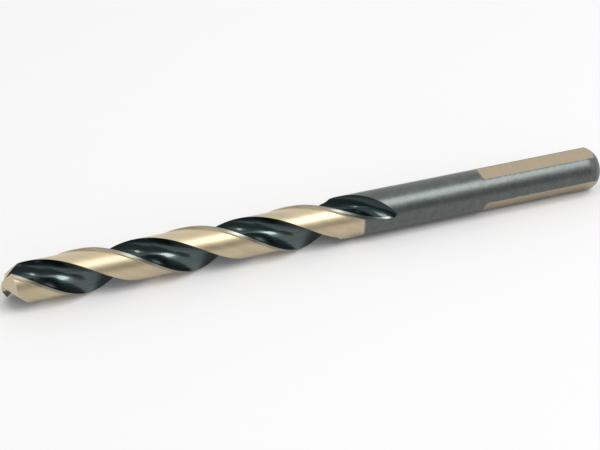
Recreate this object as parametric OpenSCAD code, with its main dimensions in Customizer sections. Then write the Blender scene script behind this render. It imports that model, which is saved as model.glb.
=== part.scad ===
// Twist drill bit: a round high-speed-steel blank with two helical flutes, relieved lands, a split point and
// three flats on its shank. Millimetres. The bit lies along X with its point at -X, one flat facing up (+Z),
// and it rests on z = 0 under the middle of its length.

/* [Blank] */
// Length from the point to the end of the shank
overall_l = 117; // [95:1:160]
// Diameter over the margins of the fluted body
body_d = 8; // [7:0.1:10]
// Diameter of the plain shank
shank_d = 7.94; // [7:0.02:10]
// Length of the rounding on the shank's end
end_round_l = 1.4; // [0.4:0.1:3]
// Depth of that rounding, measured across the radius
end_round_depth = 1.2; // [0.3:0.1:2.2]

/* [Flutes] */
// Number of flutes
flute_count = 2; // [2:1:2]
// Length from the point to where a flute runs out at the surface
flute_l = 74.5; // [50:0.5:85]
// Advance of the helix in one turn
lead = 40; // [32:0.5:60]
// Thickness of the web between the flutes at the point
web = 1.22; // [0.9:0.02:2]
// Rise of each flute floor for each millimetre towards the shank
web_rise = 0.007; // [0:0.001:0.012]
// Angle round the body that one land takes up
land_angle = 84; // [70:1:100]
// Angle from the leading edge to the deepest place of a flute
belly_angle = 50; // [44:1:56]
// Angle from the leading edge to the line along which the cutter is withdrawn
withdraw_angle = 70; // [60:1:80]
// Radius of the path on which the cutter leaves the blank
runout_r = 50; // [25:1:90]
// Length of full round between the end of the flutes and the shank
neck_l = 1.5; // [0.5:0.5:6]

/* [Lands] */
// Width of the margin at the leading edge of each land, measured round the body
margin_w = 0.6; // [0.3:0.05:1.2]
// Depth of the relief behind the margin
relief_depth = 0.34; // [0.1:0.02:0.6]
// Width of the sloped step from the margin down to the relief
relief_step = 0.2; // [0.05:0.05:0.5]
// Length from the point to the end of the relief
relief_l = 68; // [45:0.5:80]
// Radius of the sweep at the end of the relief
relief_end_r = 1.6; // [0.6:0.1:4]

/* [Point] */
// Included angle of the point
point_angle = 135; // [118:1:140]
// Clearance angle behind each lip
lip_relief = 16; // [10:0.5:20]
// Angle between the floor of each split and the axis
split_angle = 42; // [38:1:52]
// Turn of the split's floor from square to the lip, seen along the axis
split_turn = 36; // [20:1:50]
// Depth of the split below the apex, on the axis
split_depth = 0.35; // [0.1:0.05:0.5]
// Angle between a lip and the short edge that the split makes at its inner end
split_lip_angle = 32; // [20:1:45]
// Thickness that the splits leave between them at the centre
split_web = 0.12; // [0.06:0.02:0.4]
// Turn of the leading edges from the shank's first flat, taken at the point
flute_turn = 8; // [0:1:60]

/* [Shank flats] */
// Number of flats
flat_count = 3; // [3:1:3]
// Depth of each flat below the round of the shank
flat_depth = 0.38; // [0.15:0.01:0.8]
// Length of each flat at its full depth, to the end of the shank
flat_l = 24; // [12:0.5:32]
// Radius of the wheel that ends each flat
flat_wheel_r = 1; // [1:0.5:20]

/* [Hidden] */

$fn = 96;
BLACK_OXIDE = "darkslategray";
STRAW_GOLD = "tan";
SHANK_SLATE = "slategray";

body_r = body_d / 2;
shank_r = shank_d / 2;
half_web = web / 2;
half_point = point_angle / 2;
rest_z = max(body_r, shank_r);
// How far a cutting body reaches past the surface that it cuts
past = 1;
// A size that is larger than the bit is thick, for cutting blocks
wide = 4 * rest_z;

// Flutes
turn_per_mm = 360 / lead;
flute_angle = 360 / flute_count - land_angle;
relief_r = body_r - relief_depth;
// The floor of a flute is one arc that touches the web and ends at the heel
heel_from_belly = flute_angle - belly_angle;
heel_reach = relief_r * cos(heel_from_belly);
floor_r = (pow(half_web, 2) + pow(relief_r, 2) - 2 * half_web * heel_reach) / (2 * (heel_reach - half_web));
floor_centre = polar(floor_r + half_web, -belly_angle);
withdraw = polar(1, -withdraw_angle);
body_l = flute_l + neck_l;
// Lift at which the floor arc is clear of the blank, and the length that the cutter needs for it
reach_along = floor_centre * withdraw;
whole_lift = sqrt(pow(reach_along, 2) + pow(body_r + floor_r, 2) - floor_centre * floor_centre) - reach_along;
clear_lift = whole_lift - web_rise * flute_l;
runout_l = sqrt(2 * runout_r * clear_lift - pow(clear_lift, 2));
runout_z = flute_l - runout_l;
// Narrowest scallop that is left in the section where a flute has run out
LEAST_HALF_ANGLE = 1.5;
HALVINGS = 24;
// Steps of the sweep along the helix and through the run-out
HELIX_STEP = 1.25;
RUNOUT_STEP = 0.75;
END_STEP = 0.3;
// Steps of the section: margin, land, floor and lip side
MARGIN_STEPS = 2;
LAND_STEPS = 16;
FLOOR_STEPS = 12;
LIP_STEPS = 5;

// Point
lip_rise = 90 - half_point;
lip_l = sqrt(pow(body_r, 2) - pow(half_web, 2));
corner_z = lip_l * tan(lip_rise);
chisel_z = half_web * tan(lip_relief) / cos(lip_rise);
lip_turn = turn_per_mm * (corner_z - chisel_z) + asin(half_web / body_r);

// Lands
margin_angle = margin_w / body_r * 180 / PI;
step_angle = relief_step / relief_r * 180 / PI;
relief_run = sqrt(2 * relief_end_r * relief_depth);
relief_z = relief_l - relief_run;

// Shank's end: a ball that meets the shank at the start of the rounding and leaves a flat face at the end
end_r = shank_r - end_round_depth;
ball_past_edge = (pow(shank_r, 2) - pow(end_r, 2) - pow(end_round_l, 2)) / (2 * end_round_l);
ball_r = norm([shank_r, ball_past_edge]);
ball_z = overall_l - end_round_l - ball_past_edge;

// Flats
flat_reach = shank_r - flat_depth;

function polar(r, a) = r * [cos(a), sin(a)];

function turned(p, a) = [p.x * cos(a) - p.y * sin(a), p.x * sin(a) + p.y * cos(a)];

function bearing(p, from = [0, 0]) = atan2(p.y - from.y, p.x - from.x);

function within(p, r) = norm(p) > r ? p * r / norm(p) : p;

function evenly(from, to, steps) = [for (i = [0:steps]) from + (to - from) * i / steps];

function sorted(v) = len(v) < 2 ? v
    : concat(sorted([for (x = v) if (x < v[0]) x]), [v[0]], sorted([for (x = v) if (x > v[0]) x]));

// Angle of the lip side of a flute at radius r, so that the point grind leaves a straight lip
function lip_side_angle(r) = asin(half_web / body_r) - asin(half_web / r)
    + (lip_l - sqrt(pow(r, 2) - pow(half_web, 2))) * tan(lip_rise) * turn_per_mm;

function lip_side(r) = polar(r, lip_side_angle(r));

function off_floor(r) = norm(lip_side(r) - floor_centre) - floor_r;

// Radius at which the lip side meets the floor arc, found by halving
function meeting(low, high, n = HALVINGS) = n == 0 ? high
    : off_floor((low + high) / 2) > 0 ? meeting((low + high) / 2, high, n - 1)
    : meeting(low, (low + high) / 2, n - 1);

lip_inner_r = meeting(half_web, body_r / 2);
crease = lip_side(lip_inner_r);
crease_bearing = bearing(crease, floor_centre);

// Radius on the lip side that the body's round cuts off once the flute is moved by shift
function lip_top(shift, low = lip_inner_r, high = 2 * body_r, n = HALVINGS) = n == 0 ? low
    : norm(lip_side((low + high) / 2) + shift) < body_r ? lip_top(shift, (low + high) / 2, high, n - 1)
    : lip_top(shift, low, (low + high) / 2, n - 1);

// How far the cutter of a flute has been lifted off its first depth at z
function lift(z) = web_rise * max(z, 0)
    + (z > runout_z ? runout_r - sqrt(pow(runout_r, 2) - pow(min(z - runout_z, runout_l), 2)) : 0);

// Radius of the land behind its margin
function land_r(z) = z < relief_z ? relief_r : min(body_r, relief_r + pow(z - relief_z, 2) / (2 * relief_end_r));

// Half the angle that the floor arc with its centre at distance d takes up on a round of radius r
function half_angle(r, d) = max(LEAST_HALF_ANGLE,
    acos(min(1, (pow(r, 2) + pow(d, 2) - pow(floor_r, 2)) / (2 * r * d))));

// Section of one land and of the flute behind it at z, from the leading edge to the next one
function land_and_flute(z) =
    let (
        shift = lift(z) * withdraw,
        centre = floor_centre + shift,
        heel_angle = bearing(centre) - half_angle(land_r(z), norm(centre)),
        leaves_angle = bearing(centre) + half_angle(body_r, norm(centre)),
        open = norm(crease + shift) < body_r,
        inner = open ? crease + shift : polar(body_r, leaves_angle),
        top = lip_top(shift),
        edge = max(open ? bearing(lip_side(top) + shift) : leaves_angle, bearing(inner) + LEAST_HALF_ANGLE),
        heel = polar(land_r(z), heel_angle),
        from_bearing = bearing(heel, centre),
        to_bearing = bearing(inner, centre),
        floor_turn = (from_bearing - to_bearing + 360) % 360,
        land_start = edge + margin_angle + step_angle
    )
    concat(
        [for (a = evenly(edge, edge + margin_angle, MARGIN_STEPS)) polar(body_r, a)],
        [for (a = evenly(land_start, heel_angle + 360 / flute_count, LAND_STEPS)) polar(land_r(z), a)],
        [for (i = [1:FLOOR_STEPS])
            turned(within(centre + polar(floor_r, from_bearing - floor_turn * i / FLOOR_STEPS), body_r), 360 / flute_count)],
        [for (i = [1:LIP_STEPS - 1])
            let (t = i / LIP_STEPS)
            turned(open ? within(lip_side(lip_inner_r + (top - lip_inner_r) * t) + shift, body_r)
                : polar(body_r, leaves_angle + (edge - leaves_angle) * t), 360 / flute_count)]
    );

function body_ring(z) = [for (k = [0:flute_count - 1], p = land_and_flute(z))
    let (q = turned(p, 360 * k / flute_count + turn_per_mm * min(z, flute_l))) [q.x, q.y, z]];

// Heights through the marks, with steps of their own before the run-out, in it and at the end of the relief
function heights(marks) = concat([marks[0]], [for (i = [1:len(marks) - 1])
    let (
        low = marks[i - 1],
        high = marks[i],
        middle = (low + high) / 2,
        step = middle > flute_l ? neck_l
            : middle > relief_z && middle < relief_l ? END_STEP
            : middle > runout_z ? RUNOUT_STEP : HELIX_STEP,
        steps = ceil((high - low) / step)
    )
    for (k = [1:steps]) low + (high - low) * k / steps]);

// Closed body through rings of points that all have the same count
module swept(rings) {
    n = len(rings[0]);
    last = len(rings) - 1;
    sides = [for (k = [0:last - 1], i = [0:n - 1], half = [0:1])
        let (j = (i + 1) % n)
        half == 0 ? [k * n + i, (k + 1) * n + j, k * n + j] : [k * n + i, (k + 1) * n + i, (k + 1) * n + j]];
    ends = [[for (i = [0:n - 1]) i], [for (i = [n - 1:-1:0]) last * n + i]];
    polyhedron(points = [for (ring = rings) each ring], faces = concat(sides, ends), convexity = 8);
}

// The margins, lands and flutes before the point is ground
module fluted_body() {
    marks = sorted([-past, runout_z, relief_z, relief_l, flute_l, body_l]);
    color(BLACK_OXIDE)
        swept([for (z = heights(marks)) body_ring(z)]);
}

// Everything below the plane z = 0 of the frame that it is put in
module grinding_block() {
    translate([-wide / 2, -wide / 2, -wide])
        cube(wide);
}

// Flank behind the lip that lies along +X of this frame, with its clearance
module flank_grind() {
    color(STRAW_GOLD)
        translate([0, -half_web, -chisel_z])
            rotate([0, -lip_rise, 0])
                rotate([lip_relief, 0, 0])
                    grinding_block();
}

// Notch that splits the web ahead of the lip along +X: its wall makes the short inner edge of that lip
module split_grind() {
    color(STRAW_GOLD)
        intersection() {
            rotate([0, 0, -split_lip_angle])
                translate([-wide / 2, -wide - split_web / 2, -wide / 2])
                    cube(wide);
            translate([0, 0, split_depth])
                rotate([0, 0, split_turn])
                    rotate([split_angle - 90, 0, 0])
                        grinding_block();
        }
}

module shank_flat() {
    flat_z = overall_l - flat_l;
    color(STRAW_GOLD) {
        translate([flat_reach, -wide / 2, flat_z])
            cube([wide, wide, flat_l + past]);
        translate([flat_reach + flat_wheel_r, wide / 2, flat_z])
            rotate([90, 0, 0])
                cylinder(r = flat_wheel_r, h = wide);
    }
}

// Everything at the shank's end that is outside the rounding
module end_rounding() {
    color(SHANK_SLATE)
        difference() {
            translate([0, 0, overall_l - end_round_l - past])
                cylinder(r = shank_r + past, h = end_round_l + 2 * past);
            translate([0, 0, ball_z])
                sphere(r = ball_r);
        }
}

// Round shank, which starts inside the fluted body
module flatted_shank() {
    difference() {
        color(SHANK_SLATE)
            translate([0, 0, body_l - past])
                cylinder(r = shank_r, h = overall_l - body_l + past);
        end_rounding();
        for (k = [0:flat_count - 1])
            rotate([0, 0, 180 + 360 * k / flat_count])
                shank_flat();
    }
}

module ground_body() {
    difference() {
        fluted_body();
        for (k = [0:flute_count - 1])
            rotate([0, 0, lip_turn + 360 * k / flute_count]) {
                flank_grind();
                split_grind();
            }
    }
}

// The whole bit, standing on its point at z = 0
module upright_bit() {
    rotate([0, 0, 180 + flute_turn])
        ground_body();
    flatted_shank();
}

module drill_bit() {
    translate([-overall_l / 2, 0, rest_z])
        rotate([0, 90, 0])
            upright_bit();
}

drill_bit();
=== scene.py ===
import logging
import math
from dataclasses import dataclass, field
from enum import Enum
from typing import Any, Callable, Iterable, Sequence

import bmesh
import bpy
import numpy as np
from mathutils import Matrix, Vector


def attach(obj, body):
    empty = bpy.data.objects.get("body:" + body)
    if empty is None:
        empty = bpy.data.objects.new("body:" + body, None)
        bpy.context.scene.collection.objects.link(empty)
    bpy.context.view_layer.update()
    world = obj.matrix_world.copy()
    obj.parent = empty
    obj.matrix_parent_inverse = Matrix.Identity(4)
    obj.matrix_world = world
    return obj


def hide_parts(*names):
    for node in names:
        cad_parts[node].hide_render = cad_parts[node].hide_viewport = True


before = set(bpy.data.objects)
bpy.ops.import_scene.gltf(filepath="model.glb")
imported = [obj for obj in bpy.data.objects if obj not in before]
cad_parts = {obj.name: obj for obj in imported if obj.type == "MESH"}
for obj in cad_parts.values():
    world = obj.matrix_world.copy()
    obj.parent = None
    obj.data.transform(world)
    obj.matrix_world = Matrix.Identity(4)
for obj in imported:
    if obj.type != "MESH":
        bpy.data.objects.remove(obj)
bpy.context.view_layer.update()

LOG = logging.getLogger("twist_drill")
MM = 0.001
NODE = "drill_bit"
ROOT = "root"

Triple = tuple[float, float, float]
Band = tuple[float, float]


class Zone(Enum):
    """Kinds of surface on the bit, in the order of its material slots."""

    LAND = 0
    MARGIN = 1
    FLUTE = 2
    POINT = 3
    SHANK = 4
    FLAT = 5


class Joining(Enum):
    """Ways to combine two closed meshes."""

    WELD = "UNION"
    GRIND = "DIFFERENCE"


class Way(Enum):
    """Ways that the marks of a wheel run."""

    ALONG_HELIX = 0
    ROUND_AXIS = 1
    ACROSS_POINT = 2


def polar(radius: float, angle: float) -> np.ndarray:
    """Point in the section at a radius and an angle in radians."""
    return np.array([radius * math.cos(angle), radius * math.sin(angle)])


def bearing(point: np.ndarray) -> float:
    """Angle of a section point about the origin, in radians."""
    return math.atan2(point[1], point[0])


def within(points: np.ndarray, radius: float) -> np.ndarray:
    """Section points, those outside a radius drawn in to it."""
    reach = np.linalg.norm(points, axis=1, keepdims=True)
    return points * np.minimum(1.0, radius / reach)


def turned(points: np.ndarray, angle: float) -> np.ndarray:
    """Section points turned about the origin by an angle in radians."""
    c, s = math.cos(angle), math.sin(angle)
    return points @ np.array([[c, s], [-s, c]])


@dataclass(frozen=True)
class BitSizes:
    """Sizes of the real bit in millimetres and degrees, the same as in the CAD source.

    The lands' full heel corners (corner_start and corner_l) are the exception: only this model has them.
    """

    overall_l: float = 117.0
    body_d: float = 8.0
    shank_d: float = 7.94
    end_round_l: float = 1.4
    end_round_depth: float = 1.2
    flute_count: int = 2
    flute_l: float = 74.5
    lead: float = 40.0
    web: float = 1.22
    web_rise: float = 0.007
    land_angle: float = 84.0
    belly_angle: float = 50.0
    withdraw_angle: float = 70.0
    runout_r: float = 50.0
    neck_l: float = 1.5
    margin_w: float = 0.6
    relief_depth: float = 0.34
    relief_step: float = 0.2
    relief_l: float = 68.0
    relief_end_r: float = 1.6
    corner_start: float = 55.0
    corner_l: float = 4.5
    point_angle: float = 135.0
    lip_relief: float = 16.0
    split_angle: float = 42.0
    split_turn: float = 36.0
    split_depth: float = 0.35
    split_lip_angle: float = 32.0
    split_web: float = 0.12
    flute_turn: float = 8.0
    flat_count: int = 3
    flat_depth: float = 0.38
    flat_l: float = 24.0
    flat_wheel_r: float = 1.0

    @property
    def body_r(self) -> float:
        """Radius over the margins."""
        return self.body_d / 2

    @property
    def shank_r(self) -> float:
        """Radius of the plain shank."""
        return self.shank_d / 2

    @property
    def half_web(self) -> float:
        """Distance from the axis to a flute's floor at the point."""
        return self.web / 2

    @property
    def rest_z(self) -> float:
        """Height of the axis above the surface that the bit lies on."""
        return max(self.body_r, self.shank_r)

    @property
    def body_l(self) -> float:
        """Length from the point to the start of the shank."""
        return self.flute_l + self.neck_l

    @property
    def turn_per_mm(self) -> float:
        """Turn of the helix for each millimetre, in radians."""
        return 2 * math.pi / self.lead

    @property
    def lip_rise(self) -> float:
        """Angle between a lip and the plane square to the axis, in radians."""
        return math.radians(90 - self.point_angle / 2)

    @property
    def lip_l(self) -> float:
        """Length of a lip as seen along the axis."""
        return math.sqrt(self.body_r**2 - self.half_web**2)

    @property
    def chisel_z(self) -> float:
        """Drop of a lip's inner end below the centre."""
        return self.half_web * math.tan(math.radians(self.lip_relief)) / math.cos(self.lip_rise)

    @property
    def lip_turn(self) -> float:
        """Turn of the lips from the leading edges at z = 0, in radians."""
        corner_z = self.lip_l * math.tan(self.lip_rise) - self.chisel_z
        return self.turn_per_mm * corner_z + math.asin(self.half_web / self.body_r)

    @property
    def flute_pitch(self) -> float:
        """Angle from one flute to the next, in radians."""
        return 2 * math.pi / self.flute_count

    @property
    def flat_angles(self) -> list[float]:
        """Angles of the middles of the shank's flats in the section, in radians."""
        return [math.pi + 2 * math.pi * k / self.flat_count for k in range(self.flat_count)]

    @property
    def tool_turn(self) -> float:
        """Turn of the fluted body about its axis from the first flat, in radians."""
        return math.radians(180 + self.flute_turn)

    def to_frame(self, upright: np.ndarray) -> np.ndarray:
        """Lays down points (n, 3) of a bit that stands on its point, from millimetres to metres."""
        x, y, z = upright.T
        return np.stack([z - self.overall_l / 2, y, self.rest_z - x], axis=1) * MM


@dataclass
class FluteSection:
    """Section of the fluted body, worked out from the way the flutes are ground.

    Every flute has a lip side that the point grind turns into a straight lip, and a floor that is one arc
    from the web to the heel. The wheel is lifted off along one line to run the flute out.
    """

    sizes: BitSizes
    margin_steps: int = 6
    step_steps: int = 8
    land_steps: int = 30
    floor_steps: int = 40
    lip_steps: int = 14
    least_half_angle: float = math.radians(1.5)
    halvings: int = 30
    relief_r: float = field(init=False)
    floor_r: float = field(init=False)
    floor_centre: np.ndarray = field(init=False)
    withdraw: np.ndarray = field(init=False)
    lip_inner_r: float = field(init=False)
    runout_l: float = field(init=False)

    def __post_init__(self) -> None:
        """Works out the floor arc, its crease with the lip side and the length of the run-out."""
        s = self.sizes
        self.relief_r = s.body_r - s.relief_depth
        from_belly = math.radians(360 / s.flute_count - s.land_angle - s.belly_angle)
        reach = self.relief_r * math.cos(from_belly)
        to_heel = s.half_web**2 + self.relief_r**2 - 2 * s.half_web * reach
        self.floor_r = to_heel / (2 * (reach - s.half_web))
        self.floor_centre = polar(self.floor_r + s.half_web, -math.radians(s.belly_angle))
        self.withdraw = polar(1.0, -math.radians(s.withdraw_angle))
        self.lip_inner_r = self._meeting()
        along = float(self.floor_centre @ self.withdraw)
        off_axis = float(self.floor_centre @ self.floor_centre)
        clear = math.sqrt(along**2 + (s.body_r + self.floor_r) ** 2 - off_axis)
        lift = clear - along - s.web_rise * s.flute_l
        self.runout_l = math.sqrt(2 * s.runout_r * lift - lift**2)

    @property
    def runout_z(self) -> float:
        """Height at which the flutes start to run out."""
        return self.sizes.flute_l - self.runout_l

    @property
    def relief_z(self) -> float:
        """Height at which the relief of the lands starts to run out."""
        return self.sizes.relief_l - math.sqrt(2 * self.sizes.relief_end_r * self.sizes.relief_depth)

    def lip_side(self, radius: float) -> np.ndarray:
        """Point of the lip side of a flute at a radius, at the flute's first depth.

        Args:
            radius: Distance from the axis, in millimetres.

        Returns:
            The point, in millimetres.
        """
        s = self.sizes
        run = s.lip_l - math.sqrt(radius**2 - s.half_web**2)
        angle = math.asin(s.half_web / s.body_r) - math.asin(s.half_web / radius)
        return polar(radius, angle + run * math.tan(s.lip_rise) * s.turn_per_mm)

    def _narrowed(self, low: float, high: float, is_short: Callable[[float], bool]) -> Band:
        """Halves the gap between two radii again and again, the lower one always short of a mark.

        Args:
            low: A radius short of the mark.
            high: A radius past it.
            is_short: Tells whether a radius is short of the mark.

        Returns:
            The last two radii.
        """
        for _ in range(self.halvings):
            middle = (low + high) / 2
            low, high = (middle, high) if is_short(middle) else (low, middle)
        return low, high

    def _meeting(self) -> float:
        """Radius at which the lip side meets the floor arc."""
        return self._narrowed(
            self.sizes.half_web, self.sizes.body_r / 2,
            lambda r: bool(np.linalg.norm(self.lip_side(r) - self.floor_centre) > self.floor_r),
        )[1]

    def _lip_top(self, shift: np.ndarray) -> float:
        """Radius on the lip side that the body's round cuts off once the flute is moved by shift."""
        return self._narrowed(
            self.lip_inner_r, 2 * self.sizes.body_r,
            lambda r: bool(np.linalg.norm(self.lip_side(r) + shift) < self.sizes.body_r),
        )[0]

    def lift(self, z: float) -> float:
        """How far the wheel has been lifted off its first depth at a height.

        Args:
            z: Height over the point, in millimetres.

        Returns:
            The lift, in millimetres.
        """
        s = self.sizes
        past = min(max(z - self.runout_z, 0.0), self.runout_l)
        return s.web_rise * max(z, 0.0) + s.runout_r - math.sqrt(s.runout_r**2 - past**2)

    def land_r(self, z: float, angle: float) -> float:
        """Radius of the land behind its margin at a height and an angle, its heel corner left full.

        Args:
            z: Height over the point, in millimetres.
            angle: Angle behind the leading edge, in radians.

        Returns:
            The radius, in millimetres.
        """
        s = self.sizes
        first, last = math.radians(s.corner_start), math.radians(s.land_angle)
        share = min(max((angle - first) / (last - first), 0.0), 1.0)
        past = max(z + s.corner_l * share**2 - self.relief_z, 0.0)
        return min(s.body_r, self.relief_r + past**2 / (2 * s.relief_end_r))

    def _half_angle(self, radius: float, distance: float) -> float:
        """Half the angle that the floor arc takes up on a round, its centre at a distance from the axis."""
        cosine = (radius**2 + distance**2 - self.floor_r**2) / (2 * radius * distance)
        return max(self.least_half_angle, math.acos(min(1.0, cosine)))

    def _half_ring(self, z: float) -> np.ndarray:
        """One land and the flute behind it, from its leading edge to the next one.

        Args:
            z: Height over the point, in millimetres.

        Returns:
            Points in millimetres, the helix not yet turned.
        """
        s = self.sizes
        pitch = s.flute_pitch
        shift = self.lift(z) * self.withdraw
        centre = self.floor_centre + shift
        crease = self.lip_side(self.lip_inner_r) + shift
        foot_r, heel_r = self.land_r(z, 0.0), self.land_r(z, pitch)
        distance = float(np.linalg.norm(centre))
        heel_angle = bearing(centre) - self._half_angle(heel_r, distance)
        leaves = bearing(centre) + self._half_angle(s.body_r, distance)
        is_open = np.linalg.norm(crease) < s.body_r
        inner = crease if is_open else polar(s.body_r, leaves)
        top = self._lip_top(shift)
        edge = bearing(self.lip_side(top) + shift) if is_open else leaves
        edge = max(edge, bearing(inner) + self.least_half_angle)
        margin_end = edge + s.margin_w / s.body_r
        foot = margin_end + s.relief_step / self.relief_r
        margin = [polar(s.body_r, a) for a in np.linspace(edge, margin_end, self.margin_steps + 1)]
        step = [
            polar(s.body_r + (foot_r - s.body_r) * t * t * (3 - 2 * t), margin_end + (foot - margin_end) * t)
            for t in np.linspace(0, 1, self.step_steps + 1)[1:-1]
        ]
        angles = np.linspace(foot, heel_angle + pitch, self.land_steps + 1)
        land = [polar(self.land_r(z, a), a) for a in angles]
        start = bearing(polar(float(np.linalg.norm(land[-1])), heel_angle) - centre)
        sweep = (start - bearing(inner - centre)) % (2 * math.pi)
        fractions = np.linspace(0, 1, self.floor_steps + 1)[1:]
        floor = np.array([centre + polar(self.floor_r, start - sweep * t) for t in fractions])
        fractions = np.linspace(0, 1, self.lip_steps + 1)[1:-1]
        if is_open:
            radii = self.lip_inner_r + (top - self.lip_inner_r) * fractions
            lip = np.array([self.lip_side(r) + shift for r in radii])
        else:
            lip = np.array([polar(s.body_r, leaves + (edge - leaves) * t) for t in fractions])
        flute = turned(within(np.concatenate([floor, lip]), s.body_r), pitch)
        return np.concatenate([np.array(margin), np.array(step), np.array(land), flute])

    def ring(self, z: float) -> np.ndarray:
        """Whole section of the fluted body at a height.

        Args:
            z: Height over the point, in millimetres.

        Returns:
            Points of the upright bit, in millimetres.
        """
        s = self.sizes
        half = self._half_ring(z)
        turn = s.turn_per_mm * min(z, s.flute_l) + s.tool_turn
        flat = np.concatenate([turned(half, turn + s.flute_pitch * k) for k in range(s.flute_count)])
        return np.column_stack([flat, np.full(len(flat), z)])


@dataclass(frozen=True)
class ShankSection:
    """Section of the shank: a round with flats for the jaws of a chuck and a rounded end."""

    sizes: BitSizes
    flat_steps: int = 12
    round_steps: int = 24
    least_half_angle: float = math.radians(0.6)

    @property
    def ball(self) -> tuple[float, float]:
        """Radius of the ball that rounds the end, and the height of its middle."""
        s = self.sizes
        end_r = s.shank_r - s.end_round_depth
        past_edge = (s.shank_r**2 - end_r**2 - s.end_round_l**2) / (2 * s.end_round_l)
        return math.hypot(s.shank_r, past_edge), s.overall_l - s.end_round_l - past_edge

    @property
    def flat_end_z(self) -> float:
        """Height at which the rounding has cut the flats away."""
        radius, middle = self.ball
        return middle + math.sqrt(radius**2 - (self.sizes.shank_r - self.sizes.flat_depth) ** 2)

    def round_r(self, z: float) -> float:
        """Radius of the round at a height.

        Args:
            z: Height over the point, in millimetres.

        Returns:
            The radius, in millimetres.
        """
        radius, middle = self.ball
        if z <= self.sizes.overall_l - self.sizes.end_round_l:
            return self.sizes.shank_r
        return math.sqrt(radius**2 - (z - middle) ** 2)

    def flat_reach(self, z: float) -> float:
        """Distance of the flats from the axis at a height.

        Args:
            z: Height over the point, in millimetres.

        Returns:
            The distance, in millimetres.
        """
        s = self.sizes
        before = max(s.overall_l - s.flat_l - z, 0.0)
        full = s.shank_r - s.flat_depth
        if before >= s.flat_wheel_r:
            return full + s.flat_wheel_r
        return full + s.flat_wheel_r - math.sqrt(s.flat_wheel_r**2 - before**2)

    def ring(self, z: float) -> np.ndarray:
        """Whole section at a height, as points in millimetres of the upright bit.

        Args:
            z: Height over the point, in millimetres.

        Returns:
            Points of the upright bit, in millimetres.
        """
        s = self.sizes
        r, reach = self.round_r(z), self.flat_reach(z)
        half = max(self.least_half_angle, math.acos(min(1.0, reach / r)))
        pitch = 2 * math.pi / s.flat_count
        points = []
        for middle in s.flat_angles:
            for t in np.linspace(-1, 1, self.flat_steps + 1):
                points.append(polar(min(r, reach / math.cos(half * t)), middle + half * t))
            for a in np.linspace(middle + half, middle + pitch - half, self.round_steps + 1)[1:-1]:
                points.append(polar(r, a))
        flat = np.array(points)
        return np.column_stack([flat, np.full(len(flat), z)])


def heights(marks: Iterable[float], step: float) -> list[float]:
    """Heights through all the marks, no two further apart than step.

    Args:
        marks: Heights that have to be there, in any order.
        step: Largest distance between two heights.

    Returns:
        The heights in rising order.
    """
    ordered = sorted(set(marks))
    out = [ordered[0]]
    for low, high in zip(ordered, ordered[1:]):
        count = max(1, math.ceil((high - low) / step))
        out += [low + (high - low) * k / count for k in range(1, count + 1)]
    return out


def swept_mesh(name: str, rings: Sequence[np.ndarray], sizes: BitSizes) -> bpy.types.Mesh:
    """Makes a closed mesh through rings that all have the same count of points.

    Args:
        name: Name of the mesh.
        rings: Rings of points in millimetres of the upright bit, in rising order.
        sizes: The bit's sizes, for the move into the row frame.

    Returns:
        The mesh, in metres.
    """
    count = len(rings[0])
    points = sizes.to_frame(np.concatenate(rings))
    i = np.arange(count)
    j = (i + 1) % count
    quads = [np.stack([k * count + i, k * count + j, (k + 1) * count + j, (k + 1) * count + i], axis=1)
             for k in range(len(rings) - 1)]
    faces: list[list[int]] = np.concatenate(quads).tolist()
    faces.append(i[::-1].tolist())
    faces.append(((len(rings) - 1) * count + i).tolist())
    mesh = bpy.data.meshes.new(name)
    mesh.from_pydata(points.tolist(), [], faces)
    mesh.validate()
    return mesh


def add_object(name: str, data: bpy.types.ID) -> bpy.types.Object:
    """Puts a mesh, a lamp or a camera into the scene as an object of that name.

    Args:
        name: Name of the object.
        data: Its mesh, lamp or camera.

    Returns:
        The object.
    """
    obj = bpy.data.objects.new(name, data)
    bpy.context.scene.collection.objects.link(obj)
    return obj


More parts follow.
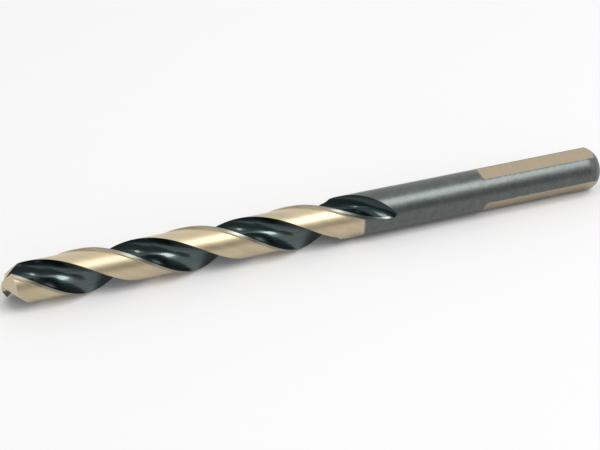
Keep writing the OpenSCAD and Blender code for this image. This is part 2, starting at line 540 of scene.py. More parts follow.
@dataclass
class PointGrind:
    """The planes that the point is ground to, in the frame of one lip.

    In that frame the lip runs along +X, the bit's axis is +Z and the flank lies towards +Y.
    """

    sizes: BitSizes
    block: float = 30.0

    def lip_frame(self, k: int) -> Matrix:
        """Frame of lip k in the row frame.

        Args:
            k: Number of the lip.

        Returns:
            The frame, which takes millimetres of the lip to metres of the row.
        """
        s = self.sizes
        lie_down = Matrix(((0, 0, 1, -s.overall_l / 2), (0, 1, 0, 0), (-1, 0, 0, s.rest_z), (0, 0, 0, 1)))
        turn = s.tool_turn + s.lip_turn + s.flute_pitch * k
        return Matrix.Scale(MM, 4) @ lie_down @ Matrix.Rotation(turn, 4, "Z")

    def flank_plane(self) -> Matrix:
        """Frame whose z = 0 plane is the flank behind a lip."""
        s = self.sizes
        return (
            Matrix.Translation((0, -s.half_web, -s.chisel_z))
            @ Matrix.Rotation(-s.lip_rise, 4, "Y")
            @ Matrix.Rotation(math.radians(s.lip_relief), 4, "X")
        )

    def split_floor(self) -> Matrix:
        """Frame whose z = 0 plane is the floor of the split ahead of a lip."""
        s = self.sizes
        return (
            Matrix.Translation((0, 0, s.split_depth))
            @ Matrix.Rotation(math.radians(s.split_turn), 4, "Z")
            @ Matrix.Rotation(math.radians(s.split_angle - 90), 4, "X")
        )

    def split_wall(self) -> Matrix:
        """Frame whose z = 0 plane is the wall that makes a lip's short inner edge, its solid side up."""
        s = self.sizes
        return (
            Matrix.Rotation(-math.radians(s.split_lip_angle), 4, "Z")
            @ Matrix.Translation((0, -s.split_web / 2, 0))
            @ Matrix.Rotation(-math.pi / 2, 4, "X")
        )

    def cutter(self, name: str, planes: Sequence[Matrix]) -> bpy.types.Object:
        """Makes the block that lies below every one of some planes.

        Args:
            name: Name of the cutter.
            planes: Frames whose z = 0 planes bound the block from above, in the row frame.

        Returns:
            The block as an object.
        """
        bm = bmesh.new()
        centre = planes[0] @ Vector((0, 0, 0))
        bmesh.ops.create_cube(bm, size=self.block * MM, matrix=Matrix.Translation(centre))
        for plane in planes:
            normal = (plane.to_3x3() @ Vector((0, 0, 1))).normalized()
            geometry = bm.verts[:] + bm.edges[:] + bm.faces[:]
            cut = bmesh.ops.bisect_plane(
                bm, geom=geometry, plane_co=plane.to_translation(), plane_no=normal, clear_outer=True
            )
            rim = [e for e in cut["geom_cut"] if isinstance(e, bmesh.types.BMEdge)]
            bmesh.ops.holes_fill(bm, edges=rim)
        bmesh.ops.recalc_face_normals(bm, faces=bm.faces[:])
        mesh = bpy.data.meshes.new(name)
        bm.to_mesh(mesh)
        bm.free()
        return add_object(name, mesh)

    def cutters(self) -> list[bpy.types.Object]:
        """Makes the blocks that grind both flanks and both splits.

        Returns:
            The blocks as objects.
        """
        out = []
        for k in range(self.sizes.flute_count):
            lip = self.lip_frame(k)
            out.append(self.cutter(f"flank_{k}", [lip @ self.flank_plane()]))
            out.append(self.cutter(f"split_{k}", [lip @ self.split_floor(), lip @ self.split_wall()]))
        return out


class Sock:
    """A shader socket or number that can be used in an expression."""

    def __init__(self, tree: "Tree", value: Any) -> None:
        """Keeps the socket or number and the tree that its nodes go to."""
        self.tree = tree
        self.value = value.value if isinstance(value, Sock) else value

    def _math(self, operation: str, *others: Any) -> "Sock":
        """Adds one Math node that works on this value and others."""
        values = [self.value] + [o.value if isinstance(o, Sock) else o for o in others]
        return self.tree.node("ShaderNodeMath", {"operation": operation}, dict(enumerate(values)))

    def __add__(self, other: Any) -> "Sock":
        """This plus another."""
        return self._math("ADD", other)

    __radd__ = __add__

    def __sub__(self, other: Any) -> "Sock":
        """This less another."""
        return self._math("SUBTRACT", other)

    def __rsub__(self, other: Any) -> "Sock":
        """Another less this."""
        return Sock(self.tree, other)._math("SUBTRACT", self)

    def __mul__(self, other: Any) -> "Sock":
        """This times another."""
        return self._math("MULTIPLY", other)

    __rmul__ = __mul__

    def __truediv__(self, other: Any) -> "Sock":
        """This over another."""
        return self._math("DIVIDE", other)

    def __rtruediv__(self, other: Any) -> "Sock":
        """Another over this."""
        return Sock(self.tree, other)._math("DIVIDE", self)

    def __mod__(self, other: Any) -> "Sock":
        """Remainder of this over another, never negative."""
        return self._math("FLOORED_MODULO", other)

    def __rmod__(self, other: Any) -> "Sock":
        """Remainder of another over this, never negative."""
        return Sock(self.tree, other)._math("FLOORED_MODULO", self)

    def sqrt(self) -> "Sock":
        """Square root of this."""
        return self._math("SQRT")

    def atan2(self, other: Any) -> "Sock":
        """Angle whose tangent is this over another."""
        return self._math("ARCTAN2", other)

    def sin(self) -> "Sock":
        """Sine of this."""
        return self._math("SINE")

    def cos(self) -> "Sock":
        """Cosine of this."""
        return self._math("COSINE")

    def least(self, other: Any) -> "Sock":
        """The smaller of this and another."""
        return self._math("MINIMUM", other)

    def most(self, other: Any) -> "Sock":
        """The larger of this and another."""
        return self._math("MAXIMUM", other)

    def step(self, low: float, high: float) -> "Sock":
        """Smooth rise from 0 at low to 1 at high."""
        return self.tree.node(
            "ShaderNodeMapRange", {"interpolation_type": "SMOOTHSTEP", "clamp": True},
            {"Value": self, "From Min": low, "From Max": high, "To Min": 0.0, "To Max": 1.0},
        )


class Tree:
    """Node tree of one material or world, written as expressions."""

    def __init__(self, owner: bpy.types.ID, output_kind: str = "ShaderNodeOutputMaterial") -> None:
        """Empties the tree of a material or world, but for its output.

        Args:
            owner: The material or world.
            output_kind: Type of the output's node.
        """
        owner.use_nodes = True
        self.owner = owner
        self.nodes = owner.node_tree.nodes
        self.links = owner.node_tree.links
        self.nodes.clear()
        self.output = self.nodes.new(output_kind)

    @classmethod
    def of_material(cls, name: str) -> "Tree":
        """Makes a new material and returns its tree."""
        return cls(bpy.data.materials.new(name))

    def node(self, kind: str, settings: dict[str, Any], inputs: dict[Any, Any], output: Any = 0) -> Sock:
        """Adds one node.

        Args:
            kind: Type of the node.
            settings: Properties of the node, set before its sockets.
            inputs: Socket name or number to a value or to the Sock that is linked to it.
            output: Name or number of the output that is wanted.

        Returns:
            That output.
        """
        node = self.nodes.new(kind)
        for key, value in settings.items():
            setattr(node, key, value)
        for key, value in inputs.items():
            raw = value.value if isinstance(value, Sock) else value
            if isinstance(raw, bpy.types.NodeSocket):
                self.links.new(raw, node.inputs[key])
            else:
                node.inputs[key].default_value = raw
        return Sock(self, node.outputs[output])

    def mix(self, factor: Any, a: Any, b: Any) -> Sock:
        """Colour a where factor is 0 and colour b where it is 1."""
        a, b = ((*x, 1.0) if isinstance(x, tuple) and len(x) == 3 else x for x in (a, b))
        return self.node(
            "ShaderNodeMix", {"data_type": "RGBA", "clamp_factor": True},
            {"Factor": factor, 6: a, 7: b}, output=2,
        )

    def combine(self, x: Any, y: Any, z: Any) -> Sock:
        """Vector of three values."""
        return self.node("ShaderNodeCombineXYZ", {}, {0: x, 1: y, 2: z})

    def bump(self, height: Sock, depth: float) -> Sock:
        """Normal of a surface with small heights, their depth in metres."""
        return self.node("ShaderNodeBump", {}, {"Height": height, "Distance": depth, "Strength": 1.0})

    def end_in(self, kind: str, inputs: dict[str, Any]) -> Any:
        """Ends the tree in one shader.

        Args:
            kind: Type of the shader's node.
            inputs: Socket name to a value or Sock.

        Returns:
            The finished material or world.
        """
        shader = self.node(kind, {}, inputs)
        self.links.new(shader.value, self.output.inputs["Surface"])
        return self.owner

    def surface(self, inputs: dict[str, Any]) -> bpy.types.Material:
        """Ends the tree in one Principled shader with the given sockets."""
        return self.end_in("ShaderNodeBsdfPrincipled", inputs)


@dataclass(frozen=True)
class Marks:
    """Marks on a surface: their way, how far they are drawn out and how fine they are, and the band of
    strengths in which they come out.
    """

    way: Way
    stretch: float
    scale: float
    detail: float = 3.0
    roughness: float = 0.55
    band: Band = (0.4, 0.7)


@dataclass(frozen=True)
class Grind:
    """Lines that a wheel leaves: how rough and deep they are, and how much of a second colour they bring."""

    lines: Marks
    rough: float
    rough_spread: float = 0.12
    depth: float = 0.00001
    share: float = 0.3


class Place:
    """Where a shaded point is on the bit, in millimetres and radians."""

    def __init__(self, tree: Tree, sizes: BitSizes) -> None:
        """Reads the object's own coordinates and turns them into those of the bit.

        Args:
            tree: The node tree that the nodes go to.
            sizes: The bit's sizes.
        """
        self.tree = tree
        self.sizes = sizes
        coordinates = tree.node("ShaderNodeTexCoord", {}, {}, output="Object")
        xyz = [tree.node("ShaderNodeSeparateXYZ", {}, {0: coordinates}, output=k) for k in range(3)]
        self.along = xyz[0] / MM + sizes.overall_l / 2
        self.side = xyz[1] / MM
        self.up = xyz[2] / MM - sizes.rest_z
        self.radius = (self.side * self.side + self.up * self.up).sqrt()
        around = self.side.atan2(0 - self.up)
        helix = self.along.least(sizes.flute_l) * sizes.turn_per_mm
        self.behind = (around - helix - sizes.tool_turn) % sizes.flute_pitch

    def marks(self, marks: Marks, fine: float = 6.0) -> Sock:
        """Noise between 0 and 1 that is drawn out the way the marks run.

        Args:
            marks: Which way they run, and how fine they are.
            fine: How much closer the marks across the point lie than others.

        Returns:
            The strength of the marks.
        """
        drawn = self.side / marks.stretch
        if marks.way is Way.ALONG_HELIX:
            across, out = self.behind.sin() * self.radius, self.behind.cos() * self.radius
            vector = self.tree.combine(self.along / marks.stretch, across, out)
        elif marks.way is Way.ROUND_AXIS:
            vector = self.tree.combine(self.along, drawn, self.up / marks.stretch)
        else:
            vector = self.tree.combine(self.along * fine, drawn, self.up * fine)
        return self.tree.node(
            "ShaderNodeTexNoise", {"noise_dimensions": "3D"},
            {"Vector": vector, "Scale": marks.scale, "Detail": marks.detail, "Roughness": marks.roughness},
        )

    def shown(self, marks: Marks) -> Sock:
        """Mask from 0 to 1 of where the marks come out."""
        return self.marks(marks).step(*marks.band)

    def ground(self, grind: Grind, colour: Any, second: Any) -> dict[str, Any]:
        """Works out the look of ground metal.

        Args:
            grind: The lines that the wheel has left.
            colour: Colour between the lines.
            second: Colour that the lines bring.

        Returns:
            Socket name to value or Sock.
        """
        lines = self.marks(grind.lines)
        return {
            "Base Color": self.tree.mix(lines.step(*grind.lines.band) * grind.share, colour, second),
            "Metallic": 1.0,
            "Roughness": lines * grind.rough_spread + grind.rough,
            "Normal": self.tree.bump(lines, grind.depth),
        }

    def past_corner(self, soft: float = 0.12, ahead: float = 130.0) -> Sock:
        """Mask of the land's heel corner by the shank, which the relief wheel leaves black along a curve.

        Args:
            soft: Half the width of the change, in millimetres.
            ahead: Angle behind one leading edge from which a place counts as ahead of the next, in degrees.

        Returns:
            1 in the corner and 0 on the rest of the land.
        """
        s = self.sizes
        first, last = math.radians(s.corner_start), math.radians(s.land_angle)
        share = ((self.behind - first) / (last - first)).most(0.0).least(1.0)
        share = share * (1 - self.behind.step(math.radians(ahead), math.radians(ahead + 1)))
        return (self.along + share * share * s.corner_l - s.relief_l).step(-2 * soft, 0.0)

    def flat_edges(self, reach: float = 0.15, ends: float = 0.6) -> Sock:
        """Mask of the round beside the edges of the shank's flats.

        Args:
            reach: How far below the flats' plane the mask fades out, in millimetres.
            ends: How far before the flats it starts, in millimetres.

        Returns:
            1 at the edges and 0 away from them.
        """
        s = self.sizes
        nearest: Any = -s.shank_r
        for angle in s.flat_angles:
            nearest = (self.side * math.sin(angle) - self.up * math.cos(angle)).most(nearest)
        plane = s.shank_r - s.flat_depth
        beside = nearest.step(plane - reach, plane)
        return beside * self.along.step(s.overall_l - s.flat_l - ends, s.overall_l - s.flat_l)


@dataclass(frozen=True)
class GroundGold:
    """Straw-coloured oxide over freshly ground steel."""

    sizes: BitSizes
    light: Triple = (0.56, 0.47, 0.305)
    shade: Triple = (0.49, 0.40, 0.255)
    dark: Triple = (0.30, 0.225, 0.13)
    oxide: Triple = (0.110, 0.125, 0.120)
    land_grind: Grind = Grind(
        Marks(Way.ALONG_HELIX, 18.0, 5.5, 4.0, 0.7, band=(0.52, 0.75)), rough=0.36, share=0.35
    )
    land_cloud: Marks = Marks(Way.ALONG_HELIX, 3.0, 0.5, 2.0, band=(0.35, 0.7))
    land_coat: float = 0.9
    coat_rough: float = 0.3
    corner_polish: float = 0.1
    point_light: Triple = (0.60, 0.52, 0.375)
    point_grind: Grind = Grind(Marks(Way.ACROSS_POINT, 2.5, 1.6, 4.0, 0.7), rough=0.42, rough_spread=0.1)
    flat_light: Triple = (0.465, 0.37, 0.262)
    flat_green: Triple = (0.44, 0.372, 0.262)
    flat_dark: Triple = (0.31, 0.25, 0.18)
    flat_grind: Grind = Grind(Marks(Way.ROUND_AXIS, 30.0, 9.0, 4.0, 0.7), rough=0.34)
    flat_cloud: Marks = Marks(Way.ROUND_AXIS, 2.0, 0.45, 2.0, band=(0.4, 0.62))

    def on_land(self) -> bpy.types.Material:
        """Finish of the relieved lands, ground along the helix, their heel corners left black.

        Returns:
            The finished material.
        """
        tree = Tree.of_material("land_gold")
        place = Place(tree, self.sizes)
        colour = tree.mix(place.shown(self.land_cloud), self.light, self.shade)
        look = place.ground(self.land_grind, colour, self.dark)
        black = place.past_corner()
        return tree.surface(look | {
            "Base Color": tree.mix(black, look["Base Color"], self.oxide),
            "Roughness": look["Roughness"] - black * self.corner_polish,
            "Coat Weight": self.land_coat - black * self.land_coat, "Coat Roughness": self.coat_rough,
        })

    def on_point(self) -> bpy.types.Material:
        """Finish of the point's facets, ground straight across.

        Returns:
            The finished material.
        """
        tree = Tree.of_material("point_gold")
        place = Place(tree, self.sizes)
        return tree.surface(place.ground(self.point_grind, self.point_light, self.dark))

    def on_flat(self) -> bpy.types.Material:
        """Finish of the shank's flats, ground across the shank.

        Returns:
            The finished material.
        """
        tree = Tree.of_material("flat_gold")
        place = Place(tree, self.sizes)
        colour = tree.mix(place.shown(self.flat_cloud), self.flat_light, self.flat_green)
        return tree.surface(place.ground(self.flat_grind, colour, self.flat_dark))


@dataclass(frozen=True)
class GroundMargin:
    """Bright cylindrically ground margin, black by the shank, and a painted highlight: the run-out's rim in
    the bright margin colour.
    """

    sizes: BitSizes
    light: Triple = (0.29, 0.285, 0.245)
    dark: Triple = (0.19, 0.185, 0.16)
    oxide: Triple = (0.100, 0.115, 0.110)
    grind: Grind = Grind(
        Marks(Way.ROUND_AXIS, 20.0, 8.0, band=(0.4, 0.75)),
        rough=0.3, rough_spread=0.1, depth=0.000006, share=0.5,
    )
    black_from: float = 62.5
    black_at: float = 64.5
    highlight_rim_w: float = 0.04

    def on_margin(self) -> bpy.types.Material:
        """Finish of the narrow margins, and of the rim, whose bright colour is a painted highlight.

        Returns:
            The finished material.
        """
        tree = Tree.of_material("margin_bright_and_rim_highlight")
        place = Place(tree, self.sizes)
        look = place.ground(self.grind, self.light, self.dark)
        body_r = self.sizes.body_r
        # The rim keeps the bright margin colour as a painted highlight; only the round turns black towards
        # the shank.
        on_round = place.radius.step(body_r - self.highlight_rim_w, body_r - self.highlight_rim_w / 2)
        black = place.along.step(self.black_from, self.black_at) * on_round
        return tree.surface(look | {"Base Color": tree.mix(black, look["Base Color"], self.oxide)})


@dataclass(frozen=True)
class BlackOxide:
    """Black oxide on steel, glossy where it was polished and satin where it was ground."""

    sizes: BitSizes
    flute_dark: Triple = (0.032, 0.058, 0.059)
    flute_light: Triple = (0.062, 0.084, 0.080)
    # Painted shade: the flutes darken to this colour in the run-out and behind the heels, standing in for
    # dark reflections.
    flute_painted_shade: Triple = (0.010, 0.024, 0.026)
    flute_grind: Grind = Grind(
        Marks(Way.ALONG_HELIX, 22.0, 4.0, 4.0, 0.65, band=(0.35, 0.7)),
        rough=0.22, rough_spread=0.1, depth=0.000006, share=1.0,
    )
    flute_coat_rough: float = 0.1
    runout_shade_band: Band = (60.0, 65.0)
    heel_shade_band: Band = (math.radians(92), math.radians(116))
    heel_shade_share: float = 0.5
    painted_shade_share: float = 0.8
    painted_shade_dulls: float = 0.5
    shank_dark: Triple = (0.083, 0.098, 0.094)
    shank_light: Triple = (0.143, 0.155, 0.148)
    shank_lines: Marks = Marks(Way.ROUND_AXIS, 16.0, 9.0, 4.0, 0.65)
    shank_cloud: Marks = Marks(Way.ROUND_AXIS, 1.5, 0.8)
    shank_grain: Marks = Marks(Way.ROUND_AXIS, 1.6, 3.2, 3.0, 0.6)
    shank_shares: Triple = (0.3, 0.35, 0.35)
    shank_band: Band = (0.28, 0.72)
    shank_metal: float = 0.9
    shank_rough: float = 0.24
    cloud_rough: float = 0.08
    grain_rough: float = 0.12
    line_height: float = 0.4
    grain_depth: float = 0.000026
    bare: Triple = (0.50, 0.48, 0.43)
    wear: Marks = Marks(Way.ROUND_AXIS, 1.0, 1.4, 4.0, 0.7, band=(0.52, 0.68))
    wear_share: float = 0.6

    def in_flute(self) -> bpy.types.Material:
        """Finish of the polished flutes, with painted shade in the run-out and behind the heels: a darker
        colour and a weaker coat that stand in for dark reflections.

        Returns:
            The finished material.
        """
        tree = Tree.of_material("flute_oxide_and_painted_shade")
        place = Place(tree, self.sizes)
        look = place.ground(self.flute_grind, self.flute_dark, self.flute_light)
        # Painted shade: darker colour and a weaker coat in the run-out and behind the heels.
        shade_by_heel = 1 - place.behind.step(*self.heel_shade_band)
        deep = place.along.step(*self.runout_shade_band).most(shade_by_heel * self.heel_shade_share)
        return tree.surface(look | {
            "Base Color": tree.mix(deep * self.painted_shade_share, look["Base Color"], self.flute_painted_shade),
            "Coat Weight": 1.0 - deep * self.painted_shade_dulls, "Coat Roughness": self.flute_coat_rough,
        })

    def on_shank(self) -> bpy.types.Material:
        """Finish of the satin shank, worn beside its flats.

        Returns:
            The finished material.
        """
        tree = Tree.of_material("shank_oxide")
        place = Place(tree, self.sizes)
        lines, cloud = place.marks(self.shank_lines), place.marks(self.shank_cloud)
        grain = place.marks(self.shank_grain)
        of_lines, of_cloud, of_grain = self.shank_shares
        blend = lines * of_lines + cloud * of_cloud + grain * of_grain
        colour = tree.mix(blend.step(*self.shank_band), self.shank_dark, self.shank_light)
        worn = place.flat_edges() * place.shown(self.wear)
        return tree.surface({
            "Base Color": tree.mix(worn * self.wear_share, colour, self.bare), "Metallic": self.shank_metal,
            "Roughness": cloud * self.cloud_rough + grain * self.grain_rough + self.shank_rough,
            "Normal": tree.bump(lines * self.line_height + grain, self.grain_depth),
        })


class Faces:
    """Where the faces of a mesh are on the bit, in millimetres and degrees, and which way they look."""

    def __init__(self, mesh: bpy.types.Mesh, sizes: BitSizes, least_r: float = 1e-6) -> None:
        """Reads the faces of a mesh, their centres and normals in the row frame and in metres.

        Args:
            mesh: The finished mesh, in the row frame.
            sizes: The bit's sizes.
            least_r: Radius that a face on the axis is taken to have, in millimetres.
        """
        count = len(mesh.polygons)
        centres, normals = np.zeros(count * 3), np.zeros(count * 3)
        mesh.polygons.foreach_get("center", centres)
        mesh.polygons.foreach_get("normal", normals)
        self.centres, self.normals = centres.reshape(-1, 3), normals.reshape(-1, 3)
        _, out_side, out_up = self.normals.T
        self.along = self.centres[:, 0] / MM + sizes.overall_l / 2
        self.side = self.centres[:, 1] / MM
        self.up = self.centres[:, 2] / MM - sizes.rest_z
        self.radius = np.maximum(np.hypot(self.side, self.up), least_r)
        self.outward = (out_side * self.side + out_up * self.up) / self.radius
        self.backward = (self.side * out_up - self.up * out_side) / self.radius
        turn = np.minimum(self.along, sizes.flute_l) * sizes.turn_per_mm + sizes.tool_turn
        around = np.arctan2(self.side, -self.up) - turn
        self.behind = np.degrees(np.mod(around, sizes.flute_pitch))


@dataclass(frozen=True)
class ZoneMap:
    """Tells the zone of every face from where it is, in millimetres and degrees, and from its normal."""

    sizes: BitSizes
    faces: Faces
    near: float = 0.02
    blank_near: float = 0.05
    blank_out: float = 0.95
    land_out: float = 0.3
    land_back: float = -0.5
    corner_end: float = 102.0
    corner_out: float = 0.05
    corner_back: float = 0.3
    lead_end: float = 27.5
    lead_start: float = 120.0
    margin_out: float = 0.99
    highlight_rim_out: float = 0.9
    highlight_rim_w: float = 0.25
    highlight_rim_start: float = 64.0
    flat_near: float = 0.01
    flat_out: float = 0.6
    facet_near: float = 0.002
    facet_square: float = 0.999
    point_l: float = 8.0

    def _on_land(self) -> np.ndarray:
        """Tells which faces are on the relieved lands, the slopes to their full corners among them.

        Returns:
            True for each face that is.
        """
        s, f = self.sizes, self.faces
        corner = (f.behind > s.corner_start) & (f.behind < self.corner_end) & (f.backward < self.corner_back)
        slope = (f.outward > self.land_out) & (f.backward > self.land_back)
        outer = f.radius > s.body_r - s.relief_depth - self.near
        return (f.along < s.relief_l) & (slope | (corner & (f.outward > self.corner_out))) & outer

    def _on_margin(self) -> np.ndarray:
        """Tells which faces are on the margins, or on the rim of the run-out, which gets the margin's bright
        colour as a painted highlight.

        Returns:
            True for each face that is.
        """
        s, f = self.sizes, self.faces
        leading = (f.behind < self.lead_end) | (f.behind > self.lead_start)
        full = (f.outward > self.margin_out) & (f.radius > s.body_r - self.near)
        margin = full & (f.along < s.relief_l) & (f.along > 0)
        # Painted highlight: the edge faces of the run-out get the bright margin finish.
        rim = (f.outward < self.highlight_rim_out) & (f.radius > s.body_r - self.highlight_rim_w)
        return leading & (margin | (rim & (f.along > self.highlight_rim_start) & (f.along < s.flute_l)))

    def _on_shank(self) -> np.ndarray:
        """Tells which faces are on the shank or on the full round where the relief has run out.

        Returns:
            True for each face that is.
        """
        s, f = self.sizes, self.faces
        full = (f.outward > self.blank_out) & (f.radius > s.shank_r - self.blank_near)
        return ((f.along > FluteSection(s).relief_z) & full) | (f.along > s.body_l)

    def _on_flats(self) -> np.ndarray:
        """Tells which faces are on the shank's flats or on the curves that end them.

        Returns:
            True for each face that is.
        """
        s, f = self.sizes, self.faces
        section = ShankSection(s)
        reach = np.array([section.flat_reach(z) for z in f.along])
        found = np.zeros(len(f.along), dtype=bool)
        for angle in s.flat_angles:
            out_side, out_up = math.sin(angle), -math.cos(angle)
            distance = f.side * out_side + f.up * out_up
            faces_out = f.normals[:, 1] * out_side + f.normals[:, 2] * out_up
            found |= (np.abs(distance - reach) < self.flat_near) & (faces_out > self.flat_out)
        return found & (f.along < section.flat_end_z)

    def _on_point(self) -> np.ndarray:
        """Tells which faces are on the planes that the point is ground to.

        Returns:
            True for each face that is.
        """
        f, grind = self.faces, PointGrind(self.sizes)
        found = np.zeros(len(f.along), dtype=bool)
        for k in range(self.sizes.flute_count):
            lip = grind.lip_frame(k)
            for plane in (lip @ grind.flank_plane(), lip @ grind.split_floor(), lip @ grind.split_wall()):
                normal = np.array((plane.to_3x3() @ Vector((0, 0, 1))).normalized())
                distance = np.abs((f.centres - np.array(plane.to_translation())) @ normal)
                found |= (distance < self.facet_near * MM) & (np.abs(f.normals @ normal) > self.facet_square)
        return found & (f.along < self.point_l)

    def zones(self) -> np.ndarray:
        """Finds the zone of every face.

        Returns:
            One zone number for each face.
        """
        zones = np.full(len(self.faces.along), Zone.FLUTE.value)
        zones[self._on_shank()] = Zone.SHANK.value
        zones[self._on_land()] = Zone.LAND.value
        zones[self._on_margin()] = Zone.MARGIN.value
        zones[self._on_flats()] = Zone.FLAT.value
        zones[self._on_point()] = Zone.POINT.value
        return zones


@dataclass
class DrillBit:
    """The whole bit as one closed piece: swept, joined, ground at the point and dressed."""

    sizes: BitSizes = field(default_factory=BitSizes)
    helix_step: float = 0.3
    shank_step: float = 1.5
    round_step: float = 0.12
    overlap: float = 1.0
    start_z: float = -1.0
    smooth_angle: float = math.radians(32)

    def _body(self) -> bpy.types.Object:
        """The margins, lands and flutes before the point is ground.

        Returns:
            The fluted body.
        """
        s = self.sizes
        section = FluteSection(s)
        marks = [self.start_z, section.runout_z, section.relief_z, s.relief_l, s.flute_l, s.body_l]
        rings = [section.ring(z) for z in heights(marks, self.helix_step)]
        return add_object(NODE + "_visual", swept_mesh("fluted_body", rings, s))

    def _shank(self) -> bpy.types.Object:
        """The shank, which starts inside the fluted body.

        Returns:
            The shank.
        """
        s = self.sizes
        section = ShankSection(s)
        full_z = s.overall_l - s.flat_l
        round_z = s.overall_l - s.end_round_l
        cut_start = full_z - math.sqrt(2 * s.flat_wheel_r * s.flat_depth - s.flat_depth**2)
        plain = heights([s.body_l - self.overlap, cut_start, round_z], self.shank_step)
        ramp = heights([cut_start, full_z], self.helix_step)
        rounding = heights([round_z, section.flat_end_z, s.overall_l], self.round_step)
        rings = [section.ring(z) for z in heights([*plain, *ramp, *rounding], self.shank_step)]
        return add_object("shank_blank", swept_mesh("shank_blank", rings, s))

    def _combine(self, body: bpy.types.Object, other: bpy.types.Object, joining: Joining) -> None:
        """Welds another object to the body or grinds it away, and removes it.

        Args:
            body: The object that is kept.
            other: The object that is used up.
            joining: Whether it is welded on or ground away.
        """
        modifier = body.modifiers.new(other.name, "BOOLEAN")
        modifier.operation = joining.value
        modifier.solver = "EXACT"
        modifier.object = other
        graph = bpy.context.evaluated_depsgraph_get()
        mesh = bpy.data.meshes.new_from_object(body.evaluated_get(graph))
        body.modifiers.clear()
        old, body.data = body.data, mesh
        bpy.data.meshes.remove(old)
        bpy.data.objects.remove(other)

    def _dress(self, mesh: bpy.types.Mesh) -> None:
        """Gives every face the finish of its zone.

        Args:
            mesh: The finished mesh, in the row frame.
        """
        gold, oxide = GroundGold(self.sizes), BlackOxide(self.sizes)
        finishes = {
            Zone.LAND: gold.on_land(), Zone.MARGIN: GroundMargin(self.sizes).on_margin(),
            Zone.FLUTE: oxide.in_flute(), Zone.POINT: gold.on_point(),
            Zone.SHANK: oxide.on_shank(), Zone.FLAT: gold.on_flat(),
        }
        mesh.materials.clear()
        for zone in Zone:
            mesh.materials.append(finishes[zone])
        zones = ZoneMap(self.sizes, Faces(mesh, self.sizes)).zones()
        mesh.polygons.foreach_set("material_index", zones.astype(np.int32))
        for zone in Zone:
            LOG.info("%s: %d faces", zone.name.lower(), int((zones == zone.value).sum()))

    def build(self) -> bpy.types.Object:
        """Builds the bit and gives every face its finish.

        Returns:
            The finished piece.
        """
        body = self._body()
        self._combine(body, self._shank(), Joining.WELD)
        for cutter in PointGrind(self.sizes).cutters():
            self._combine(body, cutter, Joining.GRIND)
        mesh = body.data
        mesh.name = NODE + "_visual"
        self._dress(mesh)
        mesh.shade_smooth()
        mesh.set_sharp_from_angle(angle=self.smooth_angle)
        return body


@dataclass(frozen=True)
class SoftLamp:
    """Soft rectangular lamp that looks at the middle of the bit, its turn in degrees from +Y."""

    name: str
    place: Triple
    size: tuple[float, float]
    turn: float
    watts: float

    def _facing_bit(self) -> Matrix:
        """Frame of the lamp, whose -Z looks at the middle of the bit.

        Returns:
            The frame, in metres.
        """
        back = Vector(self.place).normalized()
        turn = math.radians(self.turn)
        along = Vector((-math.sin(turn), math.cos(turn), 0.0))
        across = along.cross(back).normalized()
        pose = Matrix((across, back.cross(across), back)).transposed().to_4x4()
        pose.translation = self.place
        return pose

    def build(self) -> bpy.types.Object:
        """Makes the lamp.

        Returns:
            The lamp.
        """
        light = bpy.data.lights.new(self.name, "AREA")
        light.shape = "RECTANGLE"
        light.size, light.size_y = self.size
        light.energy = self.watts
        obj = add_object(self.name, light)
        obj.matrix_world = self._facing_bit()
        return obj


def add_card(name: str, corners: Sequence[Triple], material: bpy.types.Material) -> bpy.types.Object:
    """Adds one flat four-cornered face in a material.

    Args:
        name: Name of the object.
        corners: Its four corners in metres.
        material: What it is made of.

    Returns:
        The object.
    """
    mesh = bpy.data.meshes.new(name)
    mesh.from_pydata(list(corners), [], [(0, 1, 2, 3)])
    mesh.materials.append(material)
    obj = add_object(name, mesh)
    return obj


@dataclass(frozen=True)
class Flag:
    """Dark card that only reflections show, as a studio hangs to give bright metal its dark tones."""

    name: str
    corners: tuple[Triple, ...]
    grey: float = 0.25

    def build(self) -> bpy.types.Object:
        """Hangs the card where only reflections show it.

        Returns:
            The card.
        """
        sockets = {"Color": (self.grey, self.grey, self.grey, 1.0), "Strength": 1.0}
        glow = Tree.of_material(self.name).end_in("ShaderNodeEmission", sockets)
        obj = add_card(self.name, self.corners, glow)
        obj.visible_camera = obj.visible_diffuse = obj.visible_shadow = obj.visible_transmission = False
        return obj


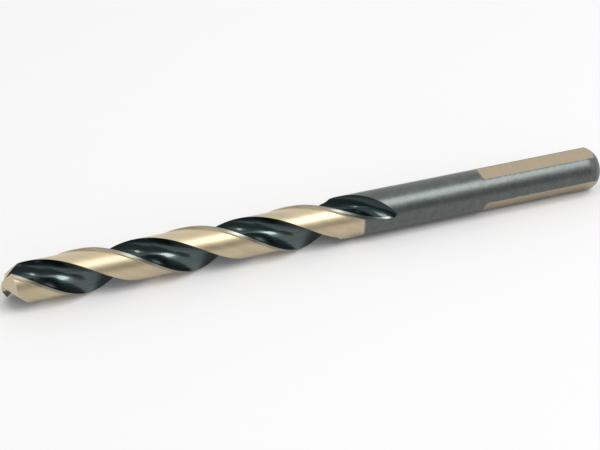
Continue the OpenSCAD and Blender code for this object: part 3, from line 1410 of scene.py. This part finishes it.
@dataclass(frozen=True)
class Studio:
    """Plain pale floor, soft lamps, dark cards for the reflections and a white world."""

    floor_size: float = 6.0
    floor_colour: Triple = (0.9, 0.9, 0.9)
    world_strength: float = 0.7
    lamps: tuple[SoftLamp, ...] = (
        SoftLamp("overhead", place=(0.33, -0.27, 0.75), size=(0.2, 0.5), turn=0.0, watts=2.6),
        SoftLamp("strip", place=(-0.088, -0.052, 0.5), size=(0.04, 0.16), turn=-30.0, watts=0.23),
    )
    flags: tuple[Flag, ...] = (
        Flag("flag_left", ((-1.0, -1.2, 0.6), (0.08, -1.2, 0.6), (0.08, 0.12, 0.6), (-1.0, 0.15, 0.6))),
        Flag("flag_front", ((-0.4, -1.0, 0.05), (0.8, -1.0, 0.05), (0.8, -1.0, 0.8), (-0.4, -1.0, 0.8))),
    )

    def floor(self) -> bpy.types.Object:
        """Makes the pale floor that the bit lies on.

        Returns:
            The floor.
        """
        half = self.floor_size / 2
        corners = [(-half, -half, 0.0), (half, -half, 0.0), (half, half, 0.0), (-half, half, 0.0)]
        sockets = {"Color": (*self.floor_colour, 1.0)}
        pale = Tree.of_material("floor_pale").end_in("ShaderNodeBsdfDiffuse", sockets)
        return add_card("floor", corners, pale)

    def world(self) -> bpy.types.World:
        """Makes the world white to the camera and to reflections, and dim as a light.

        Returns:
            The world.
        """
        world = bpy.data.worlds.new("white")
        bpy.context.scene.world = world
        tree = Tree(world, "ShaderNodeOutputWorld")
        rays = ("Is Camera Ray", "Is Glossy Ray", "Is Transmission Ray")
        camera, glossy, through = (tree.node("ShaderNodeLightPath", {}, {}, output=ray) for ray in rays)
        seen = (camera + glossy + through).least(1.0)
        strength = seen * (1 - self.world_strength) + self.world_strength
        return tree.end_in("ShaderNodeBackground", {"Color": (1.0, 1.0, 1.0, 1.0), "Strength": strength})

    def build(self) -> None:
        """Makes the floor, the lamps, the cards and the world."""
        self.floor()
        for item in (*self.lamps, *self.flags):
            item.build()
        self.world()


@dataclass(frozen=True)
class PhotoCamera:
    """Camera fitted to the outline of the bit, in the fitted frame and then turned into the row frame."""

    sizes: BitSizes
    azimuth: float = -22.349
    elevation: float = 29.683
    distance: float = 454.676
    focal_px: float = 2490.354
    image_w: float = 600.0
    aim_x: float = 56.577
    aim_z: float = 0.277
    roll_to_flat: float = -8.226
    sensor: float = 36.0
    clip: Band = (0.01, 20.0)

    def build(self) -> bpy.types.Object:
        """Makes the camera and sets it as the scene's camera.

        Returns:
            The camera.
        """
        a, e = math.radians(self.azimuth), math.radians(self.elevation)
        back = Vector((math.sin(a) * math.cos(e), -math.cos(a) * math.cos(e), math.sin(e)))
        right = Vector((math.cos(a), math.sin(a), 0.0))
        pose = Matrix((right, back.cross(right), back)).transposed().to_4x4()
        pose.translation = Vector((self.aim_x, 0.0, self.aim_z)) + back * self.distance
        turn = Matrix.Rotation(math.radians(self.roll_to_flat), 4, "X")
        place = Matrix.Translation((-self.sizes.overall_l / 2, 0.0, self.sizes.rest_z))
        pose = place @ turn @ pose
        pose.translation = pose.to_translation() * MM
        camera = bpy.data.cameras.new("photo_camera")
        camera.sensor_width = self.sensor
        camera.lens = self.focal_px / self.image_w * self.sensor
        camera.clip_start, camera.clip_end = self.clip
        obj = add_object("photo_camera", camera)
        obj.matrix_world = pose
        bpy.context.scene.camera = obj
        return obj


def main() -> None:
    """Builds the bit, the studio and the camera."""
    logging.basicConfig(level=logging.INFO, format="%(name)s: %(message)s")
    bpy.context.scene.view_settings.view_transform = "Standard"
    bit = DrillBit()
    PhotoCamera(bit.sizes).build()
    Studio().build()
    piece = bit.build()
    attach(piece, ROOT)
    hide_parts(NODE)
    LOG.info("%s: %d vertices, %d faces", piece.name, len(piece.data.vertices), len(piece.data.polygons))


if __name__ == "__main__":
    main()
